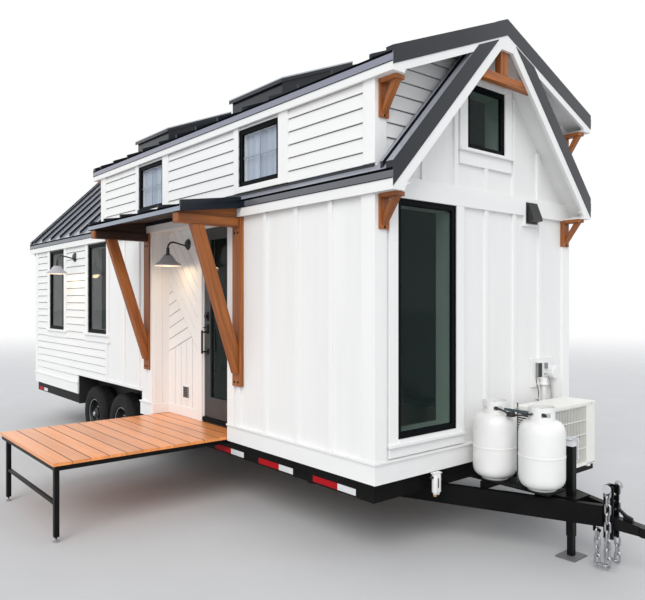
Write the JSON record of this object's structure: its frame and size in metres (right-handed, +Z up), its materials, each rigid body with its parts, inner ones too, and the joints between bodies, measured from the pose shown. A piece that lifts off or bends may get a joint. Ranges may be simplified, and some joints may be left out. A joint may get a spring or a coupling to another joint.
{
  "type": "tiny house on wheels",
  "caption": "Timber-clad tiny house on a tandem-axle trailer, with long shed dormers, standing-seam roof, cedar brackets, glazed door, awning and deck.",
  "frame": {"origin": "on the ground under the middle of the whole object's plan", "axes": "+X towards the hitch, +Y away from the door side, +Z up"},
  "size_m": [9.169, 4.099, 4.1102],
  "materials": {
    "frame_steel": "satin",
    "zinc_steel": "satin",
    "tyre_rubber": "matte",
    "wheel_paint": "satin",
    "floor_ply": "matte",
    "siding_paint": "satin",
    "white_trim": "satin",
    "roof_metal": "satin",
    "window_frame": "satin",
    "bar_paint": "satin",
    "glass": "gloss",
    "door_paint": "satin",
    "handle_metal": "satin",
    "cedar": "satin",
    "deck_wood": "matte",
    "tank_paint": "satin",
    "unit_paint": "satin",
    "inlet_plastic": "matte",
    "lamp_metal": "satin"
  },
  "bodies": {
    "house": {"trailer_frame": "frame_steel", "tongue": "frame_steel", "coupler": "frame_steel", "jack_tube": "frame_steel", "safety_chains": "zinc_steel", "axles": "frame_steel", "wheel_wells": "frame_steel", "floor": "floor_ply", "wall_front": "siding_paint", "wall_rear": "siding_paint", "wall_door_front": "siding_paint", "wall_door_rear": "siding_paint", "wall_far_side": "siding_paint", "recess_walls": "siding_paint", "dormer_wall_door": "siding_paint", "dormer_wall_far": "siding_paint", "dormer_back_wall": "siding_paint", "roof_deck": "white_trim", "dormer_roof_deck": "white_trim", "roof_metal": "roof_metal", "dormer_roof_metal": "roof_metal", "fascia_boards": "white_trim", "barge_boards": "white_trim", "skirt": "white_trim", "window_frames_front": "window_frame", "window_frames_door": "window_frame", "window_frames_far": "window_frame", "window_bars": "bar_paint", "window_glass": "glass", "door_frame": "white_trim", "awning_posts": "cedar", "awning_braces": "cedar", "awning_beams": "cedar", "awning_roof": "roof_metal", "knee_brackets": "cedar", "gable_truss": "cedar", "deck_boards": "deck_wood", "deck_frame": "frame_steel", "gas_tanks": "tank_paint", "tank_tray": "frame_steel", "outdoor_unit": "unit_paint", "inlet_box": "inlet_plastic", "barn_lights": "lamp_metal", "skylights": "roof_metal"},
    "door": {"door_leaf": "door_paint", "door_glass": "glass", "door_handle": "handle_metal"},
    "jack_foot": {"jack_leg": "frame_steel"},
    "wheel_door_front_turning": {"tyre_door_front": "tyre_rubber", "wheel_door_front": "wheel_paint"},
    "wheel_door_rear_turning": {"tyre_door_rear": "tyre_rubber", "wheel_door_rear": "wheel_paint"},
    "wheel_far_front_turning": {"tyre_far_front": "tyre_rubber", "wheel_far_front": "wheel_paint"},
    "wheel_far_rear_turning": {"tyre_far_rear": "tyre_rubber", "wheel_far_rear": "wheel_paint"}
  },
  "joints": [
    {"name": "door_hinge", "type": "hinge", "parent": "house", "child": "door", "pos_m": [1.3145, -0.3075, 1.6], "axis": [0, 0, 1], "range_deg": [0, 90]},
    {"name": "jack_slide", "type": "slide", "parent": "house", "child": "jack_foot", "axis": [0, 0, 1], "range_m": [0, 0.13]},
    {"name": "wheel_door_front_spin", "type": "hinge", "parent": "house", "child": "wheel_door_front_turning", "pos_m": [-1.173, -0.362, 0.36], "axis": [0, 1, 0], "continuous": true},
    {"name": "wheel_door_rear_spin", "type": "hinge", "parent": "house", "child": "wheel_door_rear_turning", "pos_m": [-2.038, -0.362, 0.36], "axis": [0, 1, 0], "continuous": true},
    {"name": "wheel_far_front_spin", "type": "hinge", "parent": "house", "child": "wheel_far_front_turning", "pos_m": [-1.173, 1.863, 0.36], "axis": [0, 1, 0], "continuous": true},
    {"name": "wheel_far_rear_spin", "type": "hinge", "parent": "house", "child": "wheel_far_rear_turning", "pos_m": [-2.038, 1.863, 0.36], "axis": [0, 1, 0], "continuous": true}
  ]
}
